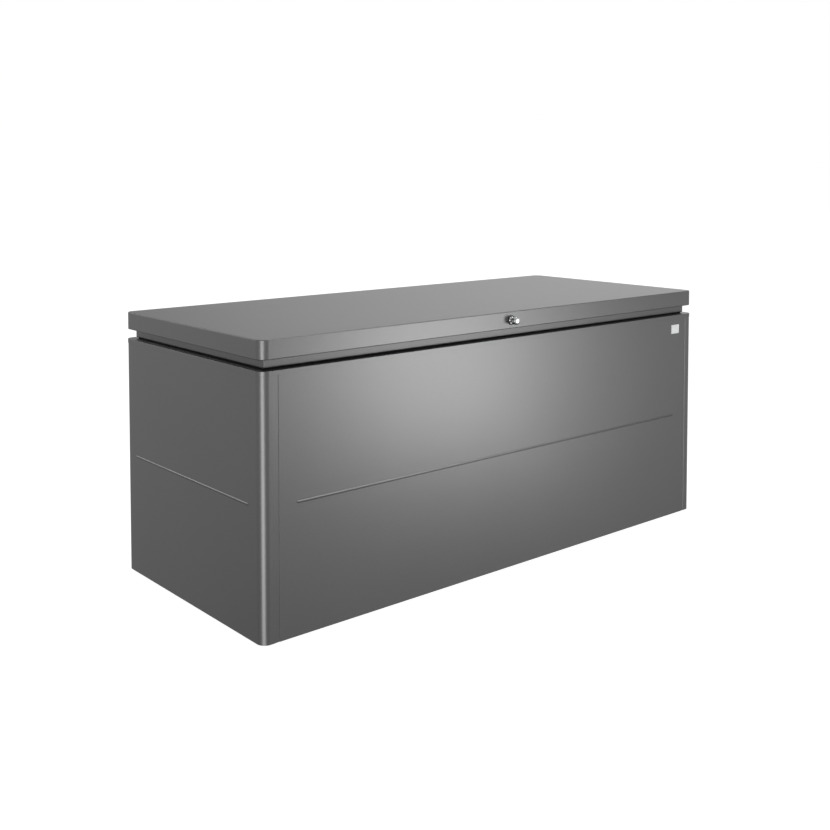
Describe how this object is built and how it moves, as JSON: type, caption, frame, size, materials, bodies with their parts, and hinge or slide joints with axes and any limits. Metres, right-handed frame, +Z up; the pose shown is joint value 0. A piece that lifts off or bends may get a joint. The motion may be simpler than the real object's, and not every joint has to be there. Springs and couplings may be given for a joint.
{
  "type": "deck storage box",
  "caption": "Low wide outdoor storage box of grey sheet metal with a flat overhanging lid on rear hinges, gas struts inside and a turning lock knob at the front.",
  "frame": {"origin": "middle of the footprint at floor level, on the underside of the centre foot glide", "axes": "+X to the right along the width seen from the front, +Y to the back, +Z up"},
  "size_m": [2.0012, 0.8694, 0.885],
  "materials": {
    "metallic_paint": "satin dark grey metallic powder coat",
    "collar_paint": "satin dark grey metallic powder coat",
    "rib_paint": "satin dark grey metallic powder coat",
    "badge": "bright blank plate",
    "floor_sheet": "mill finish sheet",
    "glide": "moulded black",
    "seal": "matt black",
    "zinc_steel": "galvanised",
    "zinc_plate": "zinc plated",
    "fastener": "zinc plated",
    "hinge_steel": "stainless",
    "strut_black": "satin black",
    "strut_rod": "hard chromed",
    "lock_dark": "satin black",
    "lock_chrome": "polished chrome",
    "lock_housing": "die-cast, nickel plated"
  },
  "bodies": {
    "cabinet": {"side_panel_left": "metallic_paint", "side_panel_right": "metallic_paint", "front_panel": "metallic_paint", "rear_panel": "metallic_paint", "top_rim": "metallic_paint", "badge_plate": "badge", "base_rail_front": "zinc_steel", "base_rail_rear": "zinc_steel", "base_rail_left": "zinc_steel", "base_rail_right": "zinc_steel", "base_cross_member_left": "zinc_steel", "base_cross_member_centre": "zinc_steel", "base_cross_member_right": "zinc_steel", "floor_panel": "floor_sheet", "foot_glides": "glide", "corner_gussets": "zinc_steel", "upright_front": "zinc_steel", "upright_rear": "zinc_steel", "upright_left": "zinc_steel", "upright_right": "zinc_steel", "strut_foot_left": "zinc_plate", "strut_foot_right": "zinc_plate", "lock_keeper": "zinc_plate", "hinge_body_leaf_left": "hinge_steel", "hinge_body_leaf_centre": "hinge_steel", "hinge_body_leaf_right": "hinge_steel", "hinge_pins": "fastener", "seam_nuts": "fastener", "rim_rivets": "fastener", "floor_screws": "fastener"},
    "lid": {"lid_shell": "metallic_paint", "lid_seal": "seal", "lid_collar_front": "collar_paint", "lid_collar_rear": "collar_paint", "lid_collar_left": "collar_paint", "lid_collar_right": "collar_paint", "lid_rib_far_left": "rib_paint", "lid_rib_left": "rib_paint", "lid_rib_right": "rib_paint", "lid_rib_far_right": "rib_paint", "strut_bracket_left": "zinc_plate", "strut_bracket_right": "zinc_plate", "lock_rosette": "lock_dark", "lock_housing": "lock_housing", "hinge_lid_leaf_left": "hinge_steel", "hinge_lid_leaf_centre": "hinge_steel", "hinge_lid_leaf_right": "hinge_steel", "hinge_screws": "fastener", "bracket_rivets": "fastener"},
    "strut_cylinder_left": {"strut_cylinder_left": "strut_black"},
    "strut_cylinder_right": {"strut_cylinder_right": "strut_black"},
    "strut_rod_left": {"strut_rod_left": "strut_rod"},
    "strut_rod_right": {"strut_rod_right": "strut_rod"},
    "lock_knob": {"lock_knob": "lock_chrome", "lock_hook": "zinc_plate", "lock_nut": "fastener"},
    "lock_plug": {"lock_plug": "lock_chrome"}
  },
  "joints": [
    {"name": "lid_hinge", "type": "hinge", "parent": "cabinet", "child": "lid", "pos_m": [0, 0.409, 0.804], "axis": [-1, 0, 0], "range_deg": [0, 80]},
    {"name": "strut_tilt_left", "type": "hinge", "parent": "cabinet", "child": "strut_cylinder_left", "pos_m": [-0.948, 0.3323, 0.62853], "axis": [-1, 0, 0], "range_deg": [0, 40]},
    {"name": "strut_slide_left", "type": "slide", "parent": "strut_cylinder_left", "child": "strut_rod_left", "axis": [0, -0.5199, 0.8542], "range_m": [0, 0.15003]},
    {"name": "strut_tilt_right", "type": "hinge", "parent": "cabinet", "child": "strut_cylinder_right", "pos_m": [0.948, 0.3323, 0.62853], "axis": [-1, 0, 0], "range_deg": [0, 40]},
    {"name": "strut_slide_right", "type": "slide", "parent": "strut_cylinder_right", "child": "strut_rod_right", "axis": [0, -0.5199, 0.8542], "range_m": [0, 0.15003]},
    {"name": "knob_turn", "type": "hinge", "parent": "lid", "child": "lock_knob", "pos_m": [-0.011, -0.43, 0.856], "axis": [0, -1, 0], "range_deg": [0, 90]},
    {"name": "key_turn", "type": "hinge", "parent": "lock_knob", "child": "lock_plug", "pos_m": [-0.011, -0.445, 0.856], "axis": [0, -1, 0], "range_deg": [0, 90]}
  ],
  "couplings": [
    {"joint": "strut_tilt_left", "follows": "lid_hinge", "ratio": 0.5},
    {"joint": "strut_slide_left", "follows": "lid_hinge", "m_per_rad": 0.10745},
    {"joint": "strut_tilt_right", "follows": "lid_hinge", "ratio": 0.5},
    {"joint": "strut_slide_right", "follows": "lid_hinge", "m_per_rad": 0.10745}
  ]
}
